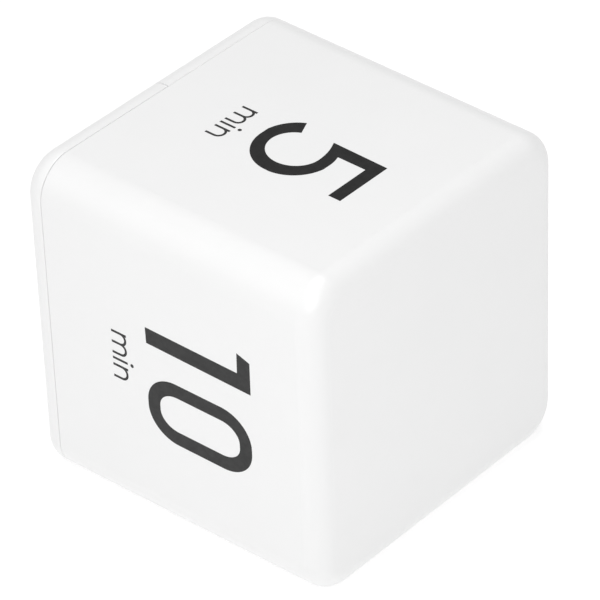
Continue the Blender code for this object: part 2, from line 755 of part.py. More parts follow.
def smooth_route(points, steps):
    """Points on one smooth curve through a lead's own points."""
    ends = [points[0]] + points + [points[-1]]
    route = []
    for index in range(1, len(ends) - 2):
        before, start, end, after = (Vector(ends[index + offset]) for offset in (-1, 0, 1, 2))
        for step in range(steps):
            share = step / steps
            first = 2 * start + (end - before) * share
            second = (2 * before - 5 * start + 4 * end - after) * share**2
            third = (3 * start - before - 3 * end + after) * share**3
            route.append((first + second + third) / 2)
    return route + [Vector(points[-1])]


def make_leads():
    """The two battery leads, from the contact tabs over the tray to the board."""
    tail = TRAY_BACK + TAB_TAIL
    board_y = BOARD_Y[0] + BOSS_RADIUS
    for name, cell_y, arch, inset, material in (
        ("battery_lead_red", CELL_Y[0], RED_ARCH, RED_LANDING, "red_pvc"),
        ("battery_lead_black", CELL_Y[1], BLACK_ARCH, BLACK_LANDING, "black_pvc"),
    ):
        landing = BOARD_LENGTH / 2 - inset
        step_y = (board_y - cell_y) / 3
        step_z = (landing - PLATE_Z) / 3
        points = [
            (tail + GAP, cell_y, PLATE_Z),
            (tail + GAP + arch / 2, cell_y, PLATE_Z),
            (tail + GAP + arch, cell_y + step_y, PLATE_Z + step_z),
            (tail + GAP + arch, board_y - step_y, landing - step_z),
            (tail, board_y, landing),
            (BACK_SEAT + arch / 2, board_y, landing),
            (BACK_SEAT, board_y, landing),
        ]
        tube(name, smooth_route(points, LEAD_STEPS), LEAD_RADIUS, material, resolution=2)


def make_battery_bay():
    make_cell("battery_cell_outer", CELL_Y[0], 1)
    make_cell("battery_cell_inner", CELL_Y[1], -1)
    positive = contact_plate("positive_contact", CELL_Y[0], PLATE_WIDTH, 1, [CELL_Y[0]])
    add_dimple(positive, CELL_Y[0], 1)
    contact_plate("negative_contact", CELL_Y[1], PLATE_WIDTH, 1, [CELL_Y[1]])
    bridge = contact_plate("bridge_contact", POST_Y, PLATE_WIDTH + CELL_PITCH, -1, [])
    add_dimple(bridge, CELL_Y[1], -1)
    make_spring("negative_spring", CELL_Y[1], 1)
    make_spring("bridge_spring", CELL_Y[0], -1)
    make_leads()


# Screws

def make_screw(name, head, rise, shank, length, seat, centre, facing):
    """A pan head screw along X with a cross slot. Its head is before the seat, its shank past it."""
    profile = [
        (-rise, head * (1 - DRIVE_SHARE / 2)),
        (-rise * DRIVE_SHARE, head),
        (0.0, head),
        (0.0, shank),
        (length - shank, shank),
        (length, shank * (1 - DRIVE_SHARE)),
    ]
    placed = [(seat + facing * along, radius) for along, radius in profile]
    screw = round_bar(name, placed, centre, "tinned_steel", sides=16)
    top = seat - facing * rise
    x = sorted((top - facing * OVERRUN, top + facing * rise * DRIVE_SHARE))
    reach = head / 2
    thin = reach / 4
    corners = ((reach, -thin), (reach, thin), (thin, thin))
    cross = []
    for turn in range(4):
        angle = math.pi / 2 * turn
        for out, across in corners:
            cross.append(
                (
                    centre[0] + out * math.cos(angle) - across * math.sin(angle),
                    centre[1] + out * math.sin(angle) + across * math.cos(angle),
                )
            )
    return cut(screw, loft("drive", [[(at, y, z) for y, z in cross] for at in x]))


def board_screw_places():
    reach = BOARD_LENGTH / 2 - BOSS_INSET
    edges = (BOARD_Y[0] + BOSS_INSET, BOARD_Y[1] - BOSS_INSET)
    return [(y, z) for y in edges for z in (-reach, reach)]


def make_screws():
    for index, side in enumerate((-1, 1), 1):
        centre = (POST_Y, side * POST_SPAN / 2)
        make_screw(
            f"cover_screw_{index}",
            COVER_HEAD_RADIUS,
            COVER_HEAD_RISE,
            COVER_SHANK_RADIUS,
            COVER_SCREW_LENGTH,
            SCREW_SEAT - GAP,
            centre,
            1,
        )
    for index, centre in enumerate(board_screw_places(), 1):
        make_screw(
            f"board_screw_{index}",
            BOARD_HEAD_RADIUS,
            BOARD_HEAD_RISE,
            BOARD_SHANK_RADIUS,
            BOARD_SCREW_LENGTH,
            BACK_SEAT,
            centre,
            -1,
        )


# Display and board

def make_display():
    block(
        "display_lens",
        (0.0, LENS),
        (BOARD_MID, 0.0),
        (WINDOW_WIDTH + 2 * LENS_LEDGE, WINDOW_LENGTH + 2 * LENS_LEDGE),
        "clear_acrylic",
    )
    glass_start = PANEL + GAP
    glass_width = WINDOW_WIDTH + 2 * GLASS_MARGIN
    glass_length = WINDOW_LENGTH + 2 * GLASS_MARGIN
    block(
        "display_glass",
        (glass_start, glass_start + GLASS),
        (BOARD_MID, 0.0),
        (glass_width, glass_length),
        "display_glass",
    )
    pocket = (glass_width + 2 * GAP, glass_length + 2 * GAP)
    outer = (pocket[0] + 2 * BEZEL_WALL, pocket[1] + 2 * BEZEL_WALL)
    strip_start = glass_start + GLASS + GAP
    strip_y = WINDOW_WIDTH / 2
    bezel = block("display_bezel", (glass_start, FRONT_SEAT), (BOARD_MID, 0.0), outer, "black_abs")
    cut(
        bezel,
        block("glass_room", (glass_start - OVERRUN, strip_start), (BOARD_MID, 0.0), pocket),
        block(
            "bezel_window",
            (glass_start, FRONT_SEAT + OVERRUN),
            (BOARD_MID, 0.0),
            (WINDOW_WIDTH - 2 * ELASTOMER_WIDTH - 2 * GAP, ELASTOMER_LENGTH),
        ),
    )
    for side, name in ((-1, "elastomer_strip_lower"), (1, "elastomer_strip_upper")):
        centre = (BOARD_MID + side * strip_y, 0.0)
        room = (ELASTOMER_WIDTH + 2 * GAP, ELASTOMER_LENGTH + 2 * GAP)
        cut(bezel, block("strip_room", (strip_start - OVERRUN, FRONT_SEAT + OVERRUN), centre, room))
        strip = (ELASTOMER_WIDTH, ELASTOMER_LENGTH)
        block(name, (strip_start, FRONT_SEAT), centre, strip, "elastomer")


def make_board():
    half = (BOARD_WIDTH / 2, BOARD_LENGTH / 2)
    board = loft(
        "circuit_board",
        [
            rounded(x, half[0], half[1], BOARD_CORNER, (BOARD_MID, 0.0))
            for x in (BOARD_FACE, BOARD_BACK)
        ],
        "board_laminate",
    )
    through = (BOARD_FACE - OVERRUN, BOARD_BACK + OVERRUN)
    radius = BOARD_SHANK_RADIUS + GAP
    for centre in board_screw_places():
        cut(board, round_bar("hole", [(x, radius) for x in through], centre, sides=12))
    for centre in pin_places():
        profile = [(x, PIN_RADIUS + GAP) for x in through]
        cut(board, round_bar("pin_hole", profile, centre, sides=8))
    return board


def make_switch():
    centre = (BOARD_MID, -SIDE_STATION)
    rest = (BOARD_MID - SWITCH_TRAVEL / 2, -SIDE_STATION)
    flange = (PANEL + GAP, PANEL + GAP + KNOB_FLANGE)
    body_front = flange[1] + GAP
    body = block(
        "switch_body",
        (body_front, FRONT_SEAT),
        centre,
        (SWITCH_LENGTH, SWITCH_WIDTH),
        "tinned_steel",
    )
    slot_end = body_front + LEVER
    room = (LEVER + SWITCH_TRAVEL + 2 * GAP, LEVER + 2 * GAP)
    cut(body, block("lever_slot", (body_front - OVERRUN, slot_end), centre, room))
    lever = (slot_end - GAP - LEVER - LEVER_REACH, slot_end - GAP)
    block("switch_lever", lever, rest, (LEVER, LEVER), "black_abs")
    flange_length = KNOB_LENGTH + SWITCH_TRAVEL + 2 * (GAP + KNOB_FLANGE_LAP)
    flange_width = KNOB_WIDTH + 2 * (GAP + KNOB_FLANGE_SIDE_LAP)
    knob = block("switch_knob", flange, rest, (flange_length, flange_width), "grey_abs")
    neck = block("neck", (KNOB_DEPTH, flange[0] + MERGE), rest, (KNOB_LENGTH, KNOB_WIDTH))
    socket = block(
        "socket",
        (lever[0] - GAP, flange[1] + OVERRUN),
        rest,
        (LEVER + 2 * GAP, LEVER + 2 * GAP),
    )
    cut(join(knob, neck), socket)
    for index in range(KNOB_GRIPS):
        y = rest[0] + (index - (KNOB_GRIPS - 1) / 2) * 2 * KNOB_GRIP
        grip = block(
            "grip",
            (KNOB_DEPTH - OVERRUN, KNOB_DEPTH + KNOB_GRIP / 2),
            (y, rest[1]),
            (KNOB_GRIP, KNOB_WIDTH + OVERRUN),
        )
        cut(knob, grip)


def make_buzzer():
    centre = (BOARD_MID, SIDE_STATION)
    top = FRONT_SEAT - BUZZER_HEIGHT
    buzzer = round_bar(
        "buzzer",
        [(top, BUZZER_RADIUS - CRIMP), (top + CRIMP, BUZZER_RADIUS), (FRONT_SEAT, BUZZER_RADIUS)],
        centre,
        "black_abs",
        sides=28,
    )
    mouth = [(top - OVERRUN, BUZZER_MOUTH), (top + BUZZER_MOUTH, BUZZER_MOUTH)]
    return cut(buzzer, round_bar("mouth", mouth, centre, sides=12))


def make_board_parts():
    strip = BOARD_Y[1] - CAPACITOR_RADIUS - BOSS_INSET
    profile = []
    for step in range(FILLET_STEPS):
        angle = math.pi / 2 * step / FILLET_STEPS
        rise = CHIP_HEIGHT * math.sin(angle)
        profile.append((BACK_SEAT + rise, CHIP_RADIUS * math.cos(angle)))
    round_bar("timer_chip", profile, (BOARD_MID, SENSOR), "epoxy", sides=20)
    ends = [-CRYSTAL_LENGTH / 2, CRYSTAL_LENGTH / 2]
    crystal = [(SENSOR + end, CRYSTAL_RADIUS) for end in ends]
    place = (BACK_SEAT + CRYSTAL_RADIUS, strip)
    round_bar("quartz_crystal", crystal, place, "tinned_steel", axis="Z", sides=16)
    for index in range(2):
        z = -CAPACITOR_PLACE - CAPACITOR_PITCH * index
        body = [
            (BACK_SEAT, CAPACITOR_RADIUS),
            (BACK_SEAT + CAPACITOR_HEIGHT - CRIMP, CAPACITOR_RADIUS),
            (BACK_SEAT + CAPACITOR_HEIGHT, CAPACITOR_RADIUS - CRIMP),
        ]
        round_bar(f"capacitor_{index + 1}", body, (strip, z), "cell_sleeve", sides=16)


# Tilt sensor

def sensor_middle():
    return (BOARD_Y[0] + BOSS_INSET + SENSOR / 2, -SENSOR / 2)


def pin_places():
    middle = sensor_middle()
    reach = PIN_SPAN / 2
    return [(middle[0] + y, middle[1] + z) for y in (-reach, reach) for z in (-reach, reach)]


def diamond(x, side, middle):
    reach = side / math.sqrt(2)
    corners = ((reach, 0.0), (0.0, reach), (-reach, 0.0), (0.0, -reach))
    return [(x, middle[0] + y, middle[1] + z) for y, z in corners]


def make_tilt_sensor():
    middle = sensor_middle()
    top = BACK_SEAT + SENSOR_DEPTH
    floor = BACK_SEAT + SENSOR_FLOOR
    base = block(
        "tilt_sensor_base",
        (BACK_SEAT, top),
        middle,
        (SENSOR, SENSOR),
        "black_abs",
    )
    cut(base, loft("chamber", [diamond(x, CHAMBER, middle) for x in (floor, top + OVERRUN)]))
    pin_end = BACK_SEAT + PIN_LENGTH / 2
    for index, centre in enumerate(pin_places(), 1):
        hole = [(BACK_SEAT - OVERRUN, PIN_RADIUS + GAP), (pin_end + GAP, PIN_RADIUS + GAP)]
        cut(base, round_bar("pin_room", hole, centre, sides=8))
        pin = [(pin_end - PIN_LENGTH, PIN_RADIUS), (pin_end, PIN_RADIUS)]
        round_bar(f"tilt_pin_{index}", pin, centre, "tinned_steel", sides=8)
    cap_x = (top + GAP, top + GAP + SENSOR_CAP)
    block("tilt_sensor_cap", cap_x, middle, (SENSOR, SENSOR), "grey_abs")
    make_ball(middle, (floor + top) / 2)


def ball_travel():
    """Between the rests of the ball in the lower and the upper corner of its chamber."""
    return 2 * (CHAMBER / math.sqrt(2) - (BALL_RADIUS + BALL_CLEARANCE) * math.sqrt(2))


def make_ball(middle, x):
    mesh = bmesh.new()
    bmesh.ops.create_uvsphere(mesh, u_segments=20, v_segments=12, radius=BALL_RADIUS)
    data = bpy.data.meshes.new("tilt_ball")
    mesh.to_mesh(data)
    mesh.free()
    ball = add_object("tilt_ball", data, "tinned_steel")
    ball.location = (x, middle[0], middle[1] - ball_travel() / 2)
    return ball


# Assembly

def stand_on_lower_face():
    """Tips the mould frame by the draft, and puts the cube's bottom centre on the origin."""
    bpy.context.view_layer.update()
    tip = Matrix.Rotation(DRAFT, 4, "Y")
    outside = [bpy.data.objects[name] for name in ("housing_shell", "rear_cover", "battery_door")]
    corners = [tip @ vertex.co for item in outside for vertex in item.data.vertices]
    lengthwise = [corner.x for corner in corners]
    middle = (min(lengthwise) + max(lengthwise)) / 2
    lowest = min(corner.z for corner in corners)
    frame = bpy.data.objects.new("mould_frame", None)
    bpy.context.scene.collection.objects.link(frame)
    frame.rotation_euler = (0.0, DRAFT, 0.0)
    frame.location = (-middle, 0.0, -lowest)
    for item in bpy.data.objects:
        if item is not frame:
            item.parent = frame


def shade_round_pieces():
    for item in bpy.data.objects:
        if item.type == "MESH":
            item.data.shade_smooth()
            item.data.set_sharp_from_angle(angle=math.radians(30))


def main():
    clear_scene()
    add_materials()
    make_shell()
    make_rear_cover()
    make_battery_door()
    make_foam()
    make_battery_bay()
    make_display()
    make_board()
    make_switch()
    make_buzzer()
    make_board_parts()
    make_tilt_sensor()
    make_screws()
    shade_round_pieces()
    stand_on_lower_face()


main()
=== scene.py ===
import math

import bmesh
import bpy
from mathutils import Matrix, Vector


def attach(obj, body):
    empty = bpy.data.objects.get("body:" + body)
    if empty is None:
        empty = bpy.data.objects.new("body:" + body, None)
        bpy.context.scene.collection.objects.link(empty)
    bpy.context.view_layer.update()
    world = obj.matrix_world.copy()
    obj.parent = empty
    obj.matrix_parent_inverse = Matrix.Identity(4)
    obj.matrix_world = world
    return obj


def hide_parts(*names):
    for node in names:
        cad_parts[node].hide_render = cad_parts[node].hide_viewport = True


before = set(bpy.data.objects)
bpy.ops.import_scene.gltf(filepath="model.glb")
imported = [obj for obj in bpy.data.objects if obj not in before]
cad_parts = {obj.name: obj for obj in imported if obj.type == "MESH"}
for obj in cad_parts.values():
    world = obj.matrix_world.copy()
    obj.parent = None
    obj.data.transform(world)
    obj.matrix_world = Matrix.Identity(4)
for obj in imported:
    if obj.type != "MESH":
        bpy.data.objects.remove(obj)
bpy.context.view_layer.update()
print("frame loaded:", len(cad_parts), "nodes")

# Pieces are modelled in millimetres in the mould frame of the cube: x runs from the display end
# to the blank end, y and z across. seatPiece sets them into the CAD frame, on the lower number face.
mould = {
    "draft": 0.45,  # degrees, on each number face
    "shift": (-31.245144, 0.0, 31.749025),
    "half": 31.73,  # half width at the display end, 0.02 inside the CAD so that the print lies flush
    "depth": 62.48,
    "edgeRadius": 7.0,
    "edgeSteps": 18,
}
slope = math.tan(math.radians(mould["draft"]))
mouldToRow = (
    Matrix.Scale(0.001, 4)
    @ Matrix.Translation(mould["shift"])
    @ Matrix.Rotation(math.radians(mould["draft"]), 4, "Y")
)
near = 1e-3  # points closer than this lie in one plane
far = 40  # beyond the cube on every side
deep = 10  # deeper than the display end
flatAngle = 0.01  # radians: an edge between two faces in one plane is only a cut in a face with holes


def halfAt(x, inset=0.0):
    return mould["half"] - slope * x - inset


def pickOnly(piece):
    if bpy.context.mode != "OBJECT":
        bpy.ops.object.mode_set(mode="OBJECT")
    bpy.ops.object.select_all(action="DESELECT")
    piece.select_set(True)
    bpy.context.view_layer.objects.active = piece


def applyPlace():
    bpy.ops.object.transform_apply(location=True, rotation=True, scale=True)


def onPlane(axis, place):
    index = "xyz".index(axis)
    return lambda a, b: abs(a[index] - place) < near and abs(b[index] - place) < near


def alongX(a, b):
    return abs(a.x - b.x) > 0.5


def bevelEdges(piece, wanted, width, steps):
    # wanted takes an edge's two ends and says whether to round it
    pickOnly(piece)
    bpy.ops.object.mode_set(mode="EDIT")
    bpy.ops.mesh.select_mode(type="EDGE")
    bpy.ops.mesh.select_all(action="DESELECT")
    mesh = bmesh.from_edit_mesh(piece.data)
    for edge in mesh.edges:
        if edge.calc_face_angle(1.0) > flatAngle and wanted(*[vert.co for vert in edge.verts]):
            edge.select_set(True)
    bmesh.update_edit_mesh(piece.data)
    bpy.ops.mesh.bevel(offset=width, segments=steps, profile=0.5, affect="EDGES", clamp_overlap=False)
    bpy.ops.object.mode_set(mode="OBJECT")


def mergePoints(piece, distance):
    pickOnly(piece)
    bpy.ops.object.mode_set(mode="EDIT")
    bpy.ops.mesh.select_all(action="SELECT")
    bpy.ops.mesh.remove_doubles(threshold=distance)
    bpy.ops.object.mode_set(mode="OBJECT")


def addBlock(name, low, high):
    bpy.ops.object.select_all(action="DESELECT")
    middle = [(a + b) / 2 for a, b in zip(low, high)]
    size = [b - a for a, b in zip(low, high)]
    bpy.ops.mesh.primitive_cube_add(size=1, location=middle, scale=size)
    piece = bpy.context.object
    piece.name = name
    applyPlace()
    return piece


def addRod(name, centre, radius, length, axis, sides):
    turn = {"X": (0, math.pi / 2, 0), "Z": (0, 0, 0)}[axis]
    bpy.ops.object.select_all(action="DESELECT")
    bpy.ops.mesh.primitive_cylinder_add(
        vertices=sides, radius=radius, depth=length, location=centre, rotation=turn
    )
    piece = bpy.context.object
    piece.name = name
    applyPlace()
    return piece


def meshFrom(name, data):
    # a curve or text made into a mesh object
    piece = bpy.data.objects.new(name, data)
    bpy.context.scene.collection.objects.link(piece)
    pickOnly(piece)
    bpy.ops.object.convert(target="MESH")
    return bpy.context.object


def combine(piece, tool, operation):
    pickOnly(piece)
    step = piece.modifiers.new("step", "BOOLEAN")
    step.object = tool
    step.operation = operation
    step.solver = "EXACT"
    bpy.ops.object.modifier_apply(modifier=step.name)
    bpy.data.objects.remove(tool, do_unlink=True)


def seatPiece(piece, material, body, *nodes, angle=35):
    # edges flatter than angle, in degrees, are shaded smooth
    pickOnly(piece)
    piece.matrix_world = mouldToRow @ piece.matrix_world
    applyPlace()
    bpy.ops.object.shade_smooth_by_angle(angle=math.radians(angle))
    flat = piece.modifiers.new("flat", "WEIGHTED_NORMAL")
    flat.keep_sharp = True
    bpy.ops.object.modifier_apply(modifier=flat.name)
    piece.data.materials.clear()
    piece.data.materials.append(material)
    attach(piece, body)
    if nodes:
        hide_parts(*nodes)


noiseSpan = (0.3, 0.7)  # nearly all values of a noise texture lie between these


def hexColour(text):
    parts = [int(text[i : i + 2], 16) / 255 for i in (1, 3, 5)]
    return [c / 12.92 if c <= 0.04045 else ((c + 0.055) / 1.055) ** 2.4 for c in parts] + [1.0]


def addNode(tree, kind, settings, links=()):
    node = tree.nodes.new(kind)
    for key, value in settings.items():
        if key in node.inputs:
            node.inputs[key].default_value = value
        else:
            setattr(node, key, value)
    for source, output, target in links:
        tree.links.new(source.outputs[output], node.inputs[target])
    return node


def perMillimetre(size):
    return 1000 / size  # the scale of a pattern whose features are size millimetres apart


def startMaterial(name, settings):
    material = bpy.data.materials.new(name)
    material.use_nodes = True
    shader = material.node_tree.nodes["Principled BSDF"]
    for key, value in settings.items():
        shader.inputs[key].default_value = value
    place = addNode(material.node_tree, "ShaderNodeTexCoord", {})
    return material, material.node_tree, shader, place


def tintBetween(tree, shader, pattern, dark, light, span=(0.0, 1.0)):
    ramp = addNode(tree, "ShaderNodeValToRGB", {}, [(pattern, "Fac", "Fac")])
    for stop, position, colour in zip(ramp.color_ramp.elements, span, (dark, light)):
        stop.position = position
        stop.color = hexColour(colour)
    tree.links.new(ramp.outputs["Color"], shader.inputs["Base Color"])


def mottle(tree, place, shader, size, dark, light):
    settings = {"Scale": perMillimetre(size), "Detail": 3.0}
    noise = addNode(tree, "ShaderNodeTexNoise", settings, [(place, "Object", "Vector")])
    tintBetween(tree, shader, noise, dark, light, noiseSpan)


def varyRoughness(tree, place, shader, size, low, high):
    noise = addNode(
        tree, "ShaderNodeTexNoise", {"Scale": perMillimetre(size)}, [(place, "Object", "Vector")]
    )
    settings = {"From Min": noiseSpan[0], "From Max": noiseSpan[1], "To Min": low, "To Max": high}
    spread = addNode(tree, "ShaderNodeMapRange", settings, [(noise, "Fac", "Value")])
    tree.links.new(spread.outputs["Result"], shader.inputs["Roughness"])


def addGrain(tree, place, shader, kind, output, size, depth, strength):
    pattern = addNode(tree, kind, {"Scale": perMillimetre(size)}, [(place, "Object", "Vector")])
    settings = {"Distance": depth / 1000, "Strength": strength}
    bump = addNode(tree, "ShaderNodeBump", settings, [(pattern, output, "Height")])
    tree.links.new(bump.outputs["Normal"], shader.inputs["Normal"])


def makeMaterial(name, settings, tint=None, gloss=None, grit=None, cells=None):
    # tint: size of its clouds, darker and lighter colour; gloss: size of its patches, least and most
    # roughness; grit or cells: size, depth and strength of the relief. All lengths are in millimetres.
    material, tree, shader, place = startMaterial(name, settings)
    if tint:
        mottle(tree, place, shader, *tint)
    if gloss:
        varyRoughness(tree, place, shader, *gloss)
    if grit:
        addGrain(tree, place, shader, "ShaderNodeTexNoise", "Fac", *grit)
    if cells:
        addGrain(tree, place, shader, "ShaderNodeTexVoronoi", "Distance", *cells)
    return material


def padPrintInk(name, dark, light):
    # pad printed ink: flat and slightly matt, a little uneven where the pad lifted
    return makeMaterial(
        name, {"IOR": 1.48, "Specular IOR Level": 0.2}, tint=(1.6, dark, light), gloss=(0.6, 0.42, 0.55)
    )


def mouldedAbs(name, dark, light, smooth, rough):
    # moulded ABS: dense colour and a dull satin with fine tool grain
    return makeMaterial(
        name, {"IOR": 1.53}, tint=(2.5, dark, light), gloss=(0.8, smooth, rough), grit=(0.2, 0.004, 0.5)
    )


def pvcInsulation(name, dark, light):
    # extruded PVC insulation: even colour, with a soft waxy sheen
    return makeMaterial(
        name, {"IOR": 1.53, "Sheen Weight": 0.1}, tint=(1.0, dark, light), gloss=(0.7, 0.4, 0.5)
    )


def tinnedSteel():
    # rolled and tinned spring steel: bright grey, with fine rolling streaks along one way
    material, tree, shader, place = startMaterial("tinnedSteel", {"Metallic": 1.0})
    stretch = addNode(
        tree, "ShaderNodeMapping", {"Scale": (1.0, 12.0, 1.0)}, [(place, "Object", "Vector")]
    )
    settings = {"Scale": perMillimetre(3.0), "Detail": 4.0}
    streaks = addNode(tree, "ShaderNodeTexNoise", settings, [(stretch, "Vector", "Vector")])
    tintBetween(tree, shader, streaks, "#aeb0b2", "#d2d3d4")
    settings = {"To Min": 0.18, "To Max": 0.38}
    spread = addNode(tree, "ShaderNodeMapRange", settings, [(streaks, "Fac", "Value")])
    tree.links.new(spread.outputs["Result"], shader.inputs["Roughness"])
    return material


def zebraElastomer():
    # zebra strip: thin black carbon layers between pink insulating silicone
    material, tree, shader, place = startMaterial("zebraElastomer", {"IOR": 1.41})
    settings = {"bands_direction": "Z", "Scale": perMillimetre(1.2), "Distortion": 0.2}
    layers = addNode(tree, "ShaderNodeTexWave", settings, [(place, "Object", "Vector")])
    tintBetween(tree, shader, layers, "#1a1718", "#c77a86")
    varyRoughness(tree, place, shader, 0.5, 0.6, 0.75)
    return material


# injection moulded ABS from a lightly blasted tool: satin, with a fine even grain in its sheen.
# Real grit is about 0.1 mm, here it is coarser so that it shows.
white = makeMaterial(
    "satinWhiteAbs",
    {"IOR": 1.53, "Specular IOR Level": 0.75},
    tint=(9.0, "#e8e8e8", "#e9e9e9"),
    gloss=(1.2, 0.30, 0.38),
    grit=(0.35, 0.004, 0.5),
)
# cast acrylic lens: clear and polished, with faint wiping marks in its gloss
clearAcrylic = makeMaterial(
    "clearAcrylic",
    {"Base Color": hexColour("#fcfefe"), "IOR": 1.49, "Transmission Weight": 1.0},
    gloss=(3.0, 0.02, 0.06),
)
# reflective twisted nematic cell: grey-green, grainy from the reflector foil behind it
displayGlass = makeMaterial(
    "displayGlass",
    {"IOR": 1.52, "Coat Weight": 0.6},
    tint=(0.25, "#a9b09f", "#b6bcab"),
    gloss=(0.4, 0.25, 0.35),
)
# glass epoxy board under green solder mask, its glass weave just showing
solderMask = makeMaterial(
    "solderMask",
    {"IOR": 1.5, "Coat Weight": 0.3},
    tint=(0.8, "#1c5a34", "#27693e"),
    gloss=(0.5, 0.30, 0.42),
    cells=(0.5, 0.01, 0.6),
)
# a dropped blob of black epoxy over the bare chip: wet looking, with a slow ripple
pottingEpoxy = makeMaterial(
    "pottingEpoxy",
    {"IOR": 1.55, "Coat Weight": 0.5},
    tint=(1.5, "#121214", "#1c1c1f"),
    gloss=(1.0, 0.18, 0.3),
    grit=(1.2, 0.05, 1.0),
)
# open celled polyurethane pad: dark grey, full of small pores
openFoam = makeMaterial(
    "openFoam",
    {"IOR": 1.45},
    tint=(0.5, "#2b2b2d", "#48484b"),
    gloss=(0.6, 0.88, 0.98),
    cells=(0.45, 0.15, 1.0),
)
# printed PVC sleeve shrunk round a cell: glossy graphite, with the can's faint dents in its gloss
sleeve = makeMaterial(
    "shrinkSleeve",
    {"IOR": 1.53, "Coat Weight": 0.4},
    tint=(3.0, "#2e3238", "#31363c"),
    gloss=(2.5, 0.24, 0.30),
)
# vacuum metallised film under the sleeve's clear end: pale silver, softer than bare steel
band = makeMaterial(
    "metallisedBand",
    {"Metallic": 0.75, "Coat Weight": 0.3},
    tint=(2.0, "#b4b8bd", "#bdc1c5"),
    gloss=(1.5, 0.28, 0.36),
)
steel = tinnedSteel()
black = mouldedAbs("blackAbs", "#161616", "#202021", 0.40, 0.50)
grey = mouldedAbs("greyAbs", "#63676a", "#6e7275", 0.37, 0.47)
topInk = padPrintInk("darkInk", "#1c1c1c", "#242424")
# a paler copy of the numerals' ink, for the front face only: painted light, where the front face's print is
# lit more brightly than the top's
litFrontInk = padPrintInk("litFrontInk", "#2b2b2b", "#333333")  # paler, as the photo shows the front face's ink
smallInk = padPrintInk("thinInk", "#2e2e2e", "#363636")
wordInk = padPrintInk("greyInk", "#6f7274", "#7b7e80")
segmentInk = padPrintInk("ghostInk", "#8f9686", "#979e8d")
markInk = padPrintInk("markInk", "#d4d7d9", "#e2e4e5")

finishes = [  # each finish, and the CAD nodes that wear it
    (displayGlass, ["display_glass"]),
    (solderMask, ["circuit_board"]),
    (pottingEpoxy, ["timer_chip"]),
    (openFoam, ["door_foam"]),
    (zebraElastomer(), ["elastomer_strip_lower", "elastomer_strip_upper"]),
    (sleeve, ["capacitor_1", "capacitor_2"]),
    (grey, ["switch_knob", "tilt_sensor_cap"]),
    (black, ["display_bezel", "switch_lever", "buzzer", "tilt_sensor_base"]),
    (pvcInsulation("redPvc", "#a81f1f", "#b92a27"), ["battery_lead_red"]),
    (pvcInsulation("blackPvc", "#17171a", "#212124"), ["battery_lead_black"]),
    (steel, ["quartz_crystal", "switch_body", "tilt_ball", "cover_screw_1", "cover_screw_2"]),
    (steel, ["positive_contact", "negative_contact", "bridge_contact"]),
    (steel, [f"{kind}_{number}" for kind in ("tilt_pin", "board_screw") for number in range(1, 5)]),
]
nodeFinish = {nodeName: finish for finish, nodeNames in finishes for nodeName in nodeNames}
for nodeName, finish in nodeFinish.items():
    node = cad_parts[nodeName]
    node.data.materials.clear()
    node.data.materials.append(finish)
print("materials done")


def draftedBlock(name, start, end, inset, split=None):
    # a block with the housing's draft and rounded long edges, cut off at y = split if given
    wide = halfAt(start, inset)
    piece = addBlock(name, (start, -wide, -wide), (end, wide, wide))
    pickOnly(piece)
    bpy.ops.object.mode_set(mode="EDIT")
    bpy.ops.mesh.select_all(action="DESELECT")
    mesh = bmesh.from_edit_mesh(piece.data)
    for face in mesh.faces:
        if face.normal.x > 0.9:
            face.select_set(True)
    bmesh.update_edit_mesh(piece.data)
    taper = halfAt(end, inset) / wide
    bpy.ops.transform.resize(value=(1, taper, taper), center_override=(end, 0, 0))
    if split is not None:
        bpy.ops.mesh.select_all(action="SELECT")
        bpy.ops.mesh.bisect(
            plane_co=(0, split, 0), plane_no=(0, -math.copysign(1, split), 0), use_fill=True, clear_outer=True
        )
    bpy.ops.object.mode_set(mode="OBJECT")

    def longEdge(a, b):
        return alongX(a, b) and (split is None or abs(a.y - split) > 1)

    bevelEdges(piece, longEdge, mould["edgeRadius"] - inset, mould["edgeSteps"])
    return piece


def copyNode(name):
    # a merged copy of a CAD node, back in the mould frame
    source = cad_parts[name]
    piece = bpy.data.objects.new(name + "Copy", source.data.copy())
    bpy.context.scene.collection.objects.link(piece)
    pickOnly(piece)
    piece.matrix_world = mouldToRow.inverted()
    applyPlace()
    mergePoints(piece, 0.002)
    return piece


shell = {
    "start": 4.41,
    "endRadius": 4.0,
    "wall": 2.0,
    "rebateWall": 0.9,
    "rebateDepth": 2.0,
    "seamRound": 0.1,
    "posts": (17, (-27, -4), 20),  # where the CAD shell's posts start, their span of y and reach in z
    "postSink": 0.3,  # how far the copied posts run into the blank end
}


def makeShell():
    start, end = shell["start"], mould["depth"]
    inner = end - shell["wall"]
    body = draftedBlock("housingShell", start, end, 0.0)
    bevelEdges(body, onPlane("x", end), shell["endRadius"], steps=14)
    bevelEdges(body, onPlane("x", start), shell["seamRound"], steps=3)
    inside = draftedBlock("inside", start - 1, inner, shell["wall"])
    bevelEdges(inside, onPlane("x", inner), shell["endRadius"] - shell["wall"], steps=6)
    combine(body, inside, "DIFFERENCE")
    rebate = draftedBlock("rebate", start - 1, start + shell["rebateDepth"], shell["rebateWall"])
    combine(body, rebate, "DIFFERENCE")
    posts = copyNode("housing_shell")
    first, span, reach = shell["posts"]
    around = addBlock("around", (first, span[0], -reach), (inner + shell["postSink"], span[1], reach))
    combine(posts, around, "INTERSECT")
    combine(body, posts, "UNION")
    seatPiece(body, white, "housing", "housing_shell")


makeShell()
print("shell done")

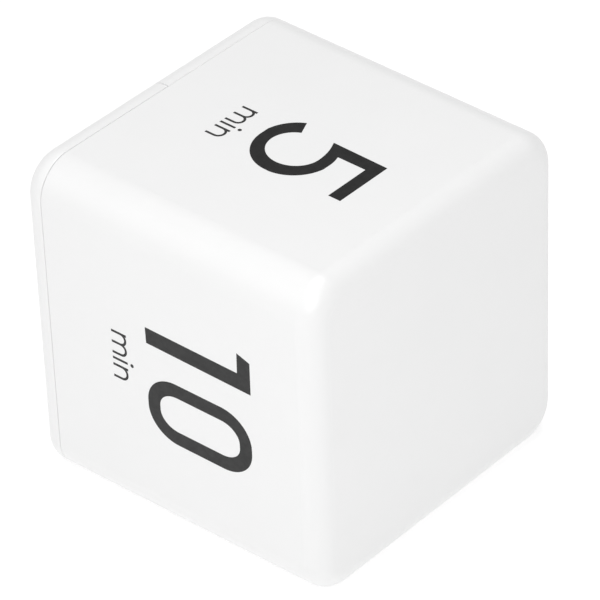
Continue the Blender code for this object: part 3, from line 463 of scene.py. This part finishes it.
cap = {"endRadius": 3.5, "split": 0.03, "panel": 1.8}  # both halves of the display end, split at y = 0
cover = {
    "side": 1,
    "seam": 4.385,  # screwed down, and closed up tighter to the shell than the door
    "round": 0.08,
    "wall": 2.6,
    "hollow": (1.55, far),  # the span of y that is hollow behind the panel
    "trim": 0.01,  # keeps the faces of the CAD copy out of the planes of the finer skin
    "overlap": 0.05,  # how far the CAD copy runs into the finer skin
    "openings": ((1, 25), 27, 0.15),  # the openings' span of y, their reach in z, and their edges' round
}
door = {
    "side": -1,
    "seam": 4.3,  # slides, so it keeps a wider gap to the shell
    "round": 0.22,
    "wall": 2.0,
    "hollow": (-far, 10),
    "works": ((-27.5, 3), 29.8),  # the span of y and the reach in z of its rails, catches and tongues
    "trim": 0.05,
    "overlap": 0.02,
}
grip = {
    "grooves": 5,
    "first": -25.75,
    "pitch": 1.6,
    "width": 0.8,
    "length": 14.0,
    "depth": 0.4,
    "cornerRound": 0.35,
    "lip": ((-27, -18), 10, 0.12),  # the grooves' span of y, their reach in z, and their edges' round
}


def rimDistance(point):
    # how far a point lies outside the rounded outline that the housing has at its place
    straight = halfAt(point.x) - mould["edgeRadius"]
    side, rise = abs(point.y) - straight, abs(point.z) - straight
    return math.hypot(max(side, 0), max(rise, 0)) + min(max(side, rise), 0) - mould["edgeRadius"]


def makeHalfCap(name, half):
    # half of the display end, hollow behind its panel
    split = half["side"] * cap["split"]
    piece = draftedBlock(name, 0.0, half["seam"], 0.0, split)
    onFront, onSplit = onPlane("x", 0.0), onPlane("y", split)
    bevelEdges(piece, lambda a, b: onFront(a, b) and not onSplit(a, b), cap["endRadius"], steps=12)
    pocket = draftedBlock("pocket", cap["panel"], half["seam"] + 2, half["wall"])
    low, high = half["hollow"]
    combine(pocket, addBlock("room", (0, low, -far), (deep, high, far)), "INTERSECT")
    combine(piece, pocket, "DIFFERENCE")

    def shown(a, b):  # the seam's outer edge and the split, but no edge inside
        nearRim = min(rimDistance(a), rimDistance(b))
        onSeam = onPlane("x", half["seam"])(a, b) and nearRim > -0.05
        inside = min(a.x, b.x) > cap["panel"] - 0.01 and nearRim < -1
        return onSeam or (onSplit(a, b) and not inside)

    bevelEdges(piece, shown, half["round"], steps=3)
    return piece


def frontEdges(span, reach):
    # edges on the front of the display end, in a span of y and within reach of z = 0
    onFront = onPlane("x", 0.0)
    return lambda a, b: onFront(a, b) and span[0] < a.y < span[1] and abs(a.z) < reach


window = {"y": 15.3, "size": (15.0, 33.0), "depth": 1.3, "opening": (12.0, 30.0)}
switchSlot = {"y": 15.3, "z": -23.0, "size": (6.6, 3.6)}
soundHoles = {
    "y": 15.3,
    "z": 23.0,
    "radius": 0.7,
    "pitch": 2.4,
    "count": 6,
    "sides": 24,
    "reach": (-1.5, 2.5),
}
before, behind = -1, 3  # how far the tools that cut right through the panel reach


def slotTool(y, z, size, low, high):
    return addBlock("tool", (low, y - size[0] / 2, z - size[1] / 2), (high, y + size[0] / 2, z + size[1] / 2))


def makeCover():
    piece = makeHalfCap("rearCover", cover)
    for y, z, size, low, high in (
        (window["y"], 0, window["opening"], before, behind),
        (window["y"], 0, window["size"], before, window["depth"]),
        (switchSlot["y"], switchSlot["z"], switchSlot["size"], before, behind),
    ):
        combine(piece, slotTool(y, z, size, low, high), "DIFFERENCE")
    low, high = soundHoles["reach"]
    for index in range(soundHoles["count"] + 1):  # a ring of holes, then the one in its middle
        turn = math.tau * index / soundHoles["count"]
        out = soundHoles["pitch"] if index < soundHoles["count"] else 0
        y, z = soundHoles["y"] + out * math.cos(turn), soundHoles["z"] + out * math.sin(turn)
        centre = ((low + high) / 2, y, z)
        hole = addRod("hole", centre, soundHoles["radius"], high - low, "X", soundHoles["sides"])
        combine(piece, hole, "DIFFERENCE")
    span, reach, rounding = cover["openings"]
    bevelEdges(piece, frontEdges(span, reach), rounding, steps=2)
    # what the CAD cover has behind the skin and in its hollow: rails, tray, bosses, hooks and frames
    inner = copyNode("rear_cover")
    trim, overlap = cover["trim"], cover["overlap"]
    skin = addBlock("skin", (-1, trim, -far), (cover["seam"] - trim, far, far))
    hollow = draftedBlock("hollow", cap["panel"] - overlap, cover["seam"] + 2, cover["wall"] + overlap)
    low, high = cover["hollow"]
    combine(hollow, addBlock("side", (0, low + overlap, -far), (deep, high, far)), "INTERSECT")
    combine(skin, hollow, "DIFFERENCE")
    combine(inner, skin, "DIFFERENCE")
    combine(piece, inner, "UNION")
    seatPiece(piece, white, "housing", "rear_cover")


makeCover()
print("rear cover done")


def makeDoor():
    piece = makeHalfCap("batteryDoor", door)
    for index in range(grip["grooves"]):
        y = grip["first"] + index * grip["pitch"]
        groove = slotTool(y, 0, (grip["width"], grip["length"]), before, grip["depth"])
        bevelEdges(groove, alongX, grip["cornerRound"], steps=4)
        combine(piece, groove, "DIFFERENCE")
    span, reach, rounding = grip["lip"]
    bevelEdges(piece, frontEdges(span, reach), rounding, steps=2)
    inner = copyNode("battery_door")
    span, reach = door["works"]
    low, high = cap["panel"] - door["overlap"], door["seam"] - door["trim"]
    keep = addBlock("keep", (low, span[0], -reach), (high, span[1], reach))
    combine(inner, keep, "INTERSECT")
    combine(piece, inner, "UNION")
    seatPiece(piece, white, "battery_door", "battery_door")


makeDoor()
print("battery door done")

lens = {"size": (14.4, 32.4), "front": 0.02, "back": 1.0, "cornerRound": 0.5, "edgeRound": 0.12}


def makeLens():
    piece = slotTool(window["y"], 0, lens["size"], lens["front"], lens["back"])
    piece.name = "displayLens"
    bevelEdges(piece, alongX, lens["cornerRound"], steps=4)
    bevelEdges(piece, onPlane("x", lens["front"]), lens["edgeRound"], steps=2)
    seatPiece(piece, clearAcrylic, "housing", "display_lens")


makeLens()

cell = {  # an AAA cell, 10.5 by 44.5 mm
    "outerY": -21.1,
    "innerY": -9.9,
    "flatEnd": 20.0,  # how far its flat end lies from the middle of the bay
    "axis": 8.55,
    "radius": 5.25,
    "length": 43.7,  # without the nub
    "sides": 96,
    "edgeRound": 0.5,
    "wall": 0.95,
    "recess": 0.2,  # of the can's ends in the sleeve
    "canGrip": 0.05,  # how far the can runs into the sleeve's wall
    "shoulderRadius": 3.1,
    "shoulderDrop": 0.05,
    "nubRadius": 1.9,
    "nub": 0.8,
    "band": 9.0,
    "mark": (2.4, 0.55),
    "markRoom": 5.0,
    "markRise": 0.02,  # over the sleeve
    "markSink": 0.05,  # under its surface
}


def cellPart(name, y, start, end, radius, rounded=()):
    centre = (cell["axis"], y, (start + end) / 2)
    piece = addRod(name, centre, radius, abs(end - start), "Z", cell["sides"])
    for level in rounded:
        bevelEdges(piece, onPlane("z", level), cell["edgeRound"], steps=5)
    return piece


def cellMark(name, y, level, crossed):
    # a plus or minus wrapped on the sleeve, facing the battery door
    long, thin = cell["mark"][0] / 2, cell["mark"][1] / 2
    piece = addBlock(name, (0, y - long, level - thin), (cell["axis"], y + long, level + thin))
    if crossed:
        bar = addBlock("bar", (-1, y - thin, level - long), (cell["axis"] - 1, y + thin, level + long))
        combine(piece, bar, "UNION")
    outside = cellPart("outside", y, level - 5, level + 5, cell["radius"] + cell["markRise"])
    combine(piece, outside, "INTERSECT")
    core = cellPart("core", y, level - 6, level + 6, cell["radius"] - cell["markSink"])
    combine(piece, core, "DIFFERENCE")
    seatPiece(piece, markInk, "housing")


def makeCell(name, node, y, start, way):
    # start is the level of the flat end, way the direction of the raised one
    end = start + way * cell["length"]
    bandStart = end - way * cell["band"]
    for part, low, high, rounded, finish in (
        ("Sleeve", start, bandStart, (start,), sleeve),
        ("Band", bandStart, end, (end,), band),
    ):
        piece = cellPart(name + part, y, low, high, cell["radius"], rounded)
        bore = cellPart("bore", y, start - way, end + way, cell["radius"] - cell["wall"])
        combine(piece, bore, "DIFFERENCE")
        seatPiece(piece, finish, "housing", node)
    inset = way * cell["recess"]
    canRadius = cell["radius"] - cell["wall"] + cell["canGrip"]
    can = cellPart(name + "Can", y, start + inset, end - inset, canRadius)
    shoulder = (end - way * cell["shoulderDrop"], cell["shoulderRadius"])
    nub = (end + way * cell["nub"], cell["nubRadius"])
    for top, radius in (shoulder, nub):
        combine(can, cellPart("step", y, end - way, top, radius, (top,)), "UNION")
    seatPiece(can, steel, "housing", node)
    cellMark(name + "Plus", y, bandStart - way * cell["markRoom"], True)
    cellMark(name + "Minus", y, start + way * cell["markRoom"], False)


makeCell("outerCell", "battery_cell_outer", cell["outerY"], -cell["flatEnd"], 1)
makeCell("innerCell", "battery_cell_inner", cell["innerY"], cell["flatEnd"], -1)
print("cells done")

coil = {"wire": 0.5, "wide": 3.2, "narrow": 2.2, "turns": 3.5, "start": 25.0, "finish": 20.3, "perTurn": 36}


def makeSpring(name, node, y, side):
    # a conical coil from its plate to the flat end of a cell
    count = round(coil["turns"] * coil["perTurn"])
    points = [(cell["axis"] + coil["wide"], y, side * coil["start"])]
    first, last = coil["start"] - coil["wire"], coil["finish"] + coil["wire"]
    for index in range(count + 1):
        share = index / count
        turn = math.tau * coil["turns"] * share
        radius = coil["wide"] + (coil["narrow"] - coil["wide"]) * share
        along = side * (first + (last - first) * share)
        points.append((cell["axis"] + radius * math.cos(turn), y + radius * math.sin(turn), along))
    points.append((points[-1][0], points[-1][1], side * coil["finish"]))
    data = bpy.data.curves.new(name, "CURVE")
    data.dimensions = "3D"
    data.bevel_depth = coil["wire"] / 2
    data.bevel_resolution = 4
    data.use_fill_caps = True
    line = data.splines.new("POLY")
    line.points.add(len(points) - 1)
    for point, place in zip(line.points, points):
        point.co = (*place, 1)
    piece = meshFrom(name, data)
    mergePoints(piece, 0.001)
    seatPiece(piece, steel, "housing", node, angle=60)


makeSpring("negativeSpring", "negative_spring", cell["innerY"], 1)
makeSpring("bridgeSpring", "bridge_spring", cell["outerY"], -1)
print("springs done")

softened = {  # pieces whose CAD shape only needs its edges rounded: body, width of the round, slot
    "switch_knob": ("power_switch", 0.12, "grey_abs"),
    "switch_lever": ("power_switch", 0.1, "black_abs"),
    "display_bezel": ("housing", 0.15, "black_abs"),
    "door_foam": ("battery_door", 0.12, "foam"),
    "positive_contact": ("housing", 0.08, "tinned_steel"),
    "negative_contact": ("housing", 0.08, "tinned_steel"),
    "bridge_contact": ("housing", 0.08, "tinned_steel"),
    "switch_body": ("housing", 0.15, "tinned_steel"),
    "buzzer": ("housing", 0.2, "black_abs"),
    "tilt_sensor_base": ("housing", 0.15, "black_abs"),
    "tilt_sensor_cap": ("housing", 0.2, "grey_abs"),
    "capacitor_1": ("housing", 0.25, "cell_sleeve"),
    "capacitor_2": ("housing", 0.25, "cell_sleeve"),
    "quartz_crystal": ("housing", 0.2, "tinned_steel"),
    "timer_chip": ("housing", 0.15, "epoxy"),
    "cover_screw_1": ("housing", 0.1, "tinned_steel"),
    "cover_screw_2": ("housing", 0.1, "tinned_steel"),
}


def softenNode(nodeName, body, width, slot):
    first, *others = nodeName.split("_")
    piece = copyNode(nodeName)
    piece.name = first + "".join(part.capitalize() for part in others) + "Rounded"
    pickOnly(piece)
    bpy.ops.object.mode_set(mode="EDIT")
    bpy.ops.mesh.select_all(action="SELECT")
    bpy.ops.mesh.dissolve_limited(angle_limit=math.radians(1))
    bpy.ops.object.mode_set(mode="OBJECT")
    edges = piece.modifiers.new("edges", "BEVEL")
    edges.width = width
    edges.segments = 3
    edges.limit_method = "ANGLE"
    edges.angle_limit = math.radians(40)
    bpy.ops.object.modifier_apply(modifier=edges.name)
    seatPiece(piece, nodeFinish[nodeName], body, nodeName)


for nodeName, settings in softened.items():
    softenNode(nodeName, *settings)
print("small parts rounded")


# Outlines of the print are in millimetres, u to the right and v up as the face is read.
def arc(centre, radii, start, end, steps):
    turns = [math.radians(start + (end - start) * step / steps) for step in range(steps + 1)]
    return [(centre[0] + radii[0] * math.cos(t), centre[1] + radii[1] * math.sin(t)) for t in turns]


def dot(centre, radius):
    return arc(centre, (radius, radius), 0, 345, 23)


def roundedLoop(low, high, radius):
    left, right = low[0] + radius[0], high[0] - radius[0]
    bottom, top = low[1] + radius[1], high[1] - radius[1]
    points = []
    for corner, centre in enumerate(((right, top), (left, top), (left, bottom), (right, bottom))):
        points += arc(centre, radius, 90 * corner, 90 * (corner + 1), 16)
    return points


def digitFive():
    # the bowl grows a little heavier towards its tail
    flag = [(-4.12, 17.37), (7.72, 17.37), (7.72, 14.87), (-1.56, 14.87), (-1.56, 9.03)]
    outer = arc((1.0, 1.98), (7.5, 7.5), 110.6, 88, 6)
    outer += arc((1.03, 2.12), (7.5, 7.5), 78, 6, 16)
    outer += arc((0.98, 2.08), (7.5, 7.5), 0, -92, 20)
    outer += arc((0.74, 1.94), (7.5, 7.5), -102, -153.5, 12)
    inner = arc((1.0, 2.02), (4.74, 5.08), -153.6, 90, 48)
    shoulder = [(0.2, 7.08), (-0.7, 6.98), (-1.5, 6.83), (-2.4, 6.6), (-3.3, 6.26), (-4.34, 5.8)]
    return [flag + outer + inner + shoulder]


def digitOne():
    return [[(-6.33, 17.7), (-12.68, 17.75), (-13.58, 15.05), (-9.54, 14.97), (-9.78, -4.93), (-6.63, -4.85)]]


def digitZero():
    outer = roundedLoop((-0.84, -5.17), (11.77, 17.41), (5.8, 6.35))
    inner = roundedLoop((1.91, -2.53), (9.0, 14.8), (3.1, 3.9))
    return [outer, inner]


def digitTwo():
    outer = arc((6.0, 11.4), (6.1, 6.06), 172, -38, 44)
    foot = [(3.9, -2.55), (12.2, -2.55), (12.2, -5.1), (0.0, -5.1), (0.0, -3.0)]
    inner = arc((6.0, 11.4), (3.5, 3.6), -42, 172, 40)
    return [outer + foot + inner]


def archedLetter(stems, base, top, stroke):
    # an n or m: stems are the middles of its uprights, joined by round arches
    half = (stems[1] - stems[0]) / 2
    wide, narrow = half + stroke / 2, half - stroke / 2
    level = top - wide
    branch = 180 - math.degrees(math.acos(narrow / wide))  # where the first arch leaves its stem
    cusp = math.degrees(math.acos(half / wide))  # where two arches meet
    left, lastStem = stems[0], stems[-1]
    points = [(left - stroke / 2, base), (left - stroke / 2, top), (left + stroke / 2, top)]
    for right in stems[1:]:
        start = branch if right == stems[1] else 180 - cusp
        end = 0 if right == lastStem else cusp
        points += arc((right - half, level), (wide, wide), start, end, 14)
    points.append((lastStem + stroke / 2, base))
    for left, right in reversed(list(zip(stems, stems[1:]))):
        points.append((right - stroke / 2, base))
        points += arc((right - half, level), (narrow, narrow), 0, 180, 14)
        points.append((left + stroke / 2, base))
    return points


word = {  # the word min: places from its left end, heights from its base
    "stroke": 0.46,
    "top": 3.28,
    "mPitch": 2.17,
    "iLeft": 5.53,
    "dot": (4.25, 0.36),
    "nStems": (7.1, 9.47),
}


def minutesWord(left, base):
    stroke, top = word["stroke"], base + word["top"]
    mStems = [left + stroke / 2 + step * word["mPitch"] for step in range(3)]
    nStems = [left + stem for stem in word["nStems"]]
    iLeft = left + word["iLeft"]
    letterI = [(iLeft, base), (iLeft, top), (iLeft + stroke, top), (iLeft + stroke, base)]
    rise, radius = word["dot"]
    letterDot = dot((iLeft + stroke / 2, base + rise), radius)
    letterM, letterN = (archedLetter(stems, base, top, stroke) for stems in (mStems, nStems))
    return [letterM, letterI, letterDot, letterN]


def moved(outlines, du, dv=0.0):
    return [[(u + du, v + dv) for u, v in outline] for outline in outlines]


middle = 31.25  # the x of the number faces' middles
faceFrames = {  # origin, then the ways of u and v, in the mould frame
    "top": ((middle, 0, halfAt(middle)), (0, -1, 0), (1, 0, -slope)),
    "front": ((middle, -halfAt(middle), 0), (0, 0, -1), (1, slope, 0)),
    "bottom": ((middle, 0, -halfAt(middle)), (0, 1, 0), (1, 0, slope)),
    "back": ((middle, halfAt(middle), 0), (0, 0, 1), (1, -slope, 0)),
    "displayEnd": ((0.0, 0.0, 0.0), (0, 0, 1), (0, 1, 0)),
    "displayGlass": ((2.1, 0.0, 0.0), (0, 0, 1), (0, 1, 0)),
}
film = {"half": 0.01, "rise": 0.0101}  # half the thickness of the ink, and how far its middle stands off


def layFlat(piece, face, finish):
    pickOnly(piece)
    origin, right, up = (Vector(part) for part in faceFrames[face])
    right.normalize()
    up.normalize()
    out = right.cross(up)
    turn = Matrix((right, up, out)).transposed().to_4x4()
    piece.matrix_world = Matrix.Translation(origin + out * film["rise"]) @ turn
    applyPlace()
    mergePoints(piece, 0.0005)
    bpy.ops.object.mode_set(mode="EDIT")
    bpy.ops.mesh.normals_make_consistent(inside=False)
    bpy.ops.object.mode_set(mode="OBJECT")
    seatPiece(piece, finish, "housing", angle=20)


def printOn(name, face, outlines, finish):
    data = bpy.data.curves.new(name, "CURVE")
    data.dimensions = "2D"
    data.fill_mode = "BOTH"
    data.extrude = film["half"]
    for outline in outlines:
        line = data.splines.new("POLY")
        line.points.add(len(outline) - 1)
        line.use_cyclic_u = True
        for point, (u, v) in zip(line.points, outline):
            point.co = (u, v, 0, 1)
    layFlat(meshFrom(name, data), face, finish)


topShift, frontShift = (0.03, -0.08), (-0.05, -0.09)
for name, face, outlines, finish in (
    ("fiveNumeral", "top", moved(digitFive(), *topShift), topInk),
    ("fiveMinutes", "top", moved(minutesWord(-3.3, -13.0), *topShift), smallInk),
    ("tenNumeral", "front", moved(digitOne() + digitZero(), *frontShift), litFrontInk),
    ("tenMinutes", "front", moved(minutesWord(-6.0, -12.67), *frontShift), smallInk),
    ("twentyNumeral", "bottom", moved(digitTwo(), -13.5) + moved(digitZero(), 1.6), topInk),
    ("twentyMinutes", "bottom", minutesWord(-4.9, -12.7), smallInk),
    ("twentyFiveNumeral", "back", moved(digitTwo(), -14.2) + moved(digitFive(), 5.8), topInk),
    ("twentyFiveMinutes", "back", minutesWord(-4.9, -12.7), smallInk),
):
    printOn(name, face, outlines, finish)
print("numerals done")

lcd = {
    "wide": 4.6,  # of one digit
    "tall": 8.6,
    "stroke": 0.85,
    "gap": 0.12,  # between the tips of two bars
    "pitch": 5.9,
    "colonRoom": 1.9,
    "colonRise": 1.7,
    "colonRadius": 0.5,
}


def segmentDigit(left, base):
    # the seven bars of one display digit, with pointed ends
    half, gap = lcd["stroke"] / 2, lcd["gap"]
    right, top, centre = left + lcd["wide"], base + lcd["tall"], base + lcd["tall"] / 2

    def bar(level, low, high):
        return [
            (low, level), (low + half, level + half), (high - half, level + half),
            (high, level), (high - half, level - half), (low + half, level - half),
        ]

    bars = [bar(v, left + half + gap, right - half - gap) for v in (base + half, centre, top - half)]
    for u in (left + half, right - half):
        for low, high in ((base + half, centre), (centre, top - half)):
            bars.append([(across, along) for along, across in bar(u, low + gap, high - gap)])
    return bars


def makeDigits():
    start = -(4 * lcd["pitch"] + lcd["colonRoom"] - (lcd["pitch"] - lcd["wide"])) / 2
    bars = []
    for index in range(4):
        left = start + index * lcd["pitch"] + (lcd["colonRoom"] if index > 1 else 0)
        bars += segmentDigit(left, window["y"] - lcd["tall"] / 2)
    colon = start + 2 * lcd["pitch"] - (lcd["pitch"] - lcd["wide"]) / 2 + lcd["colonRoom"] / 2
    for rise in (-lcd["colonRise"], lcd["colonRise"]):
        bars.append(dot((colon, window["y"] + rise), lcd["colonRadius"]))
    printOn("displayDigits", "displayGlass", bars, segmentInk)


makeDigits()


def addWord(name, text, centre):
    data = bpy.data.curves.new(name, "FONT")
    data.body = text
    data.size = 2.0
    data.align_x = "CENTER"
    data.align_y = "CENTER"
    data.extrude = film["half"]
    piece = meshFrom(name, data)
    piece.location = (*centre, 0)
    applyPlace()
    layFlat(piece, "displayEnd", wordInk)


addWord("onMark", "ON", (switchSlot["z"], switchSlot["y"] + 5))
addWord("offMark", "OFF", (switchSlot["z"], switchSlot["y"] - 5))
print("display end done")

camera = {  # from a fit to the outline and the numerals in the photo
    "place": (0.395661, -0.433518, 0.451313),
    "right": (0.756776, 0.652573, -0.037926),
    "up": (-0.357133, 0.46136, 0.812159),
    "back": (0.547491, -0.601078, 0.582202),
    "lens": 257.7376,
    "sensor": 36,
    "clip": (0.01, 20),
}
studio = {
    "world": 0.555,
    "aim": (0, 0, 0.03),
    "boxes": {  # softboxes: the way to each from aim, power in watts, distance and width in metres
        "leftBox": ((-0.4, -0.74, 0.52), 0.27, 0.5, 0.45),
        "frontBox": ((0.547, -0.60, 0.58), 0.405, 0.4, 0.217),
        "overheadBox": ((0.0, 0.0, 1.0), 1.93, 0.7, 0.38),
    },
    "floorSize": 6,
    "floorLevel": -0.0002,
    "floor": "#cccccc",
    "floorGlow": 0.51,  # keeps the floor white up to the cube
}


def setCamera():
    data = bpy.data.cameras.new("camera")
    data.lens = camera["lens"]
    data.sensor_width = camera["sensor"]
    data.clip_start, data.clip_end = camera["clip"]
    piece = bpy.data.objects.new("camera", data)
    bpy.context.scene.collection.objects.link(piece)
    turn = Matrix([camera["right"], camera["up"], camera["back"]]).transposed().to_4x4()
    piece.matrix_world = Matrix.Translation(camera["place"]) @ turn
    bpy.context.scene.camera = piece


def addSoftbox(name, way, power, distance, width):
    way = Vector(way).normalized()
    data = bpy.data.lights.new(name, "AREA")
    data.size = width
    data.energy = power
    piece = bpy.data.objects.new(name, data)
    bpy.context.scene.collection.objects.link(piece)
    piece.location = Vector(studio["aim"]) + way * distance
    piece.rotation_mode = "QUATERNION"
    piece.rotation_quaternion = way.to_track_quat("Z", "Y")


def setStudio():
    world = bpy.data.worlds.new("studio")
    bpy.context.scene.world = world
    world.use_nodes = True
    background = world.node_tree.nodes["Background"]
    background.inputs["Color"].default_value = (1, 1, 1, 1)
    background.inputs["Strength"].default_value = studio["world"]
    bpy.context.scene.view_settings.view_transform = "Standard"
    for name, settings in studio["boxes"].items():
        addSoftbox(name, *settings)
    bpy.ops.object.select_all(action="DESELECT")
    bpy.ops.mesh.primitive_plane_add(size=studio["floorSize"], location=(0, 0, studio["floorLevel"]))
    floor = bpy.context.object
    floor.name = "floor"
    # matt opal acrylic table top, lit from below
    material = makeMaterial(
        "opalAcrylic",
        {
            "Base Color": hexColour(studio["floor"]),
            "Roughness": 0.9,
            "IOR": 1.45,
            "Emission Color": (1, 1, 1, 1),
            "Emission Strength": studio["floorGlow"],
        },
    )
    floor.data.materials.append(material)


setCamera()
setStudio()
print("studio done")
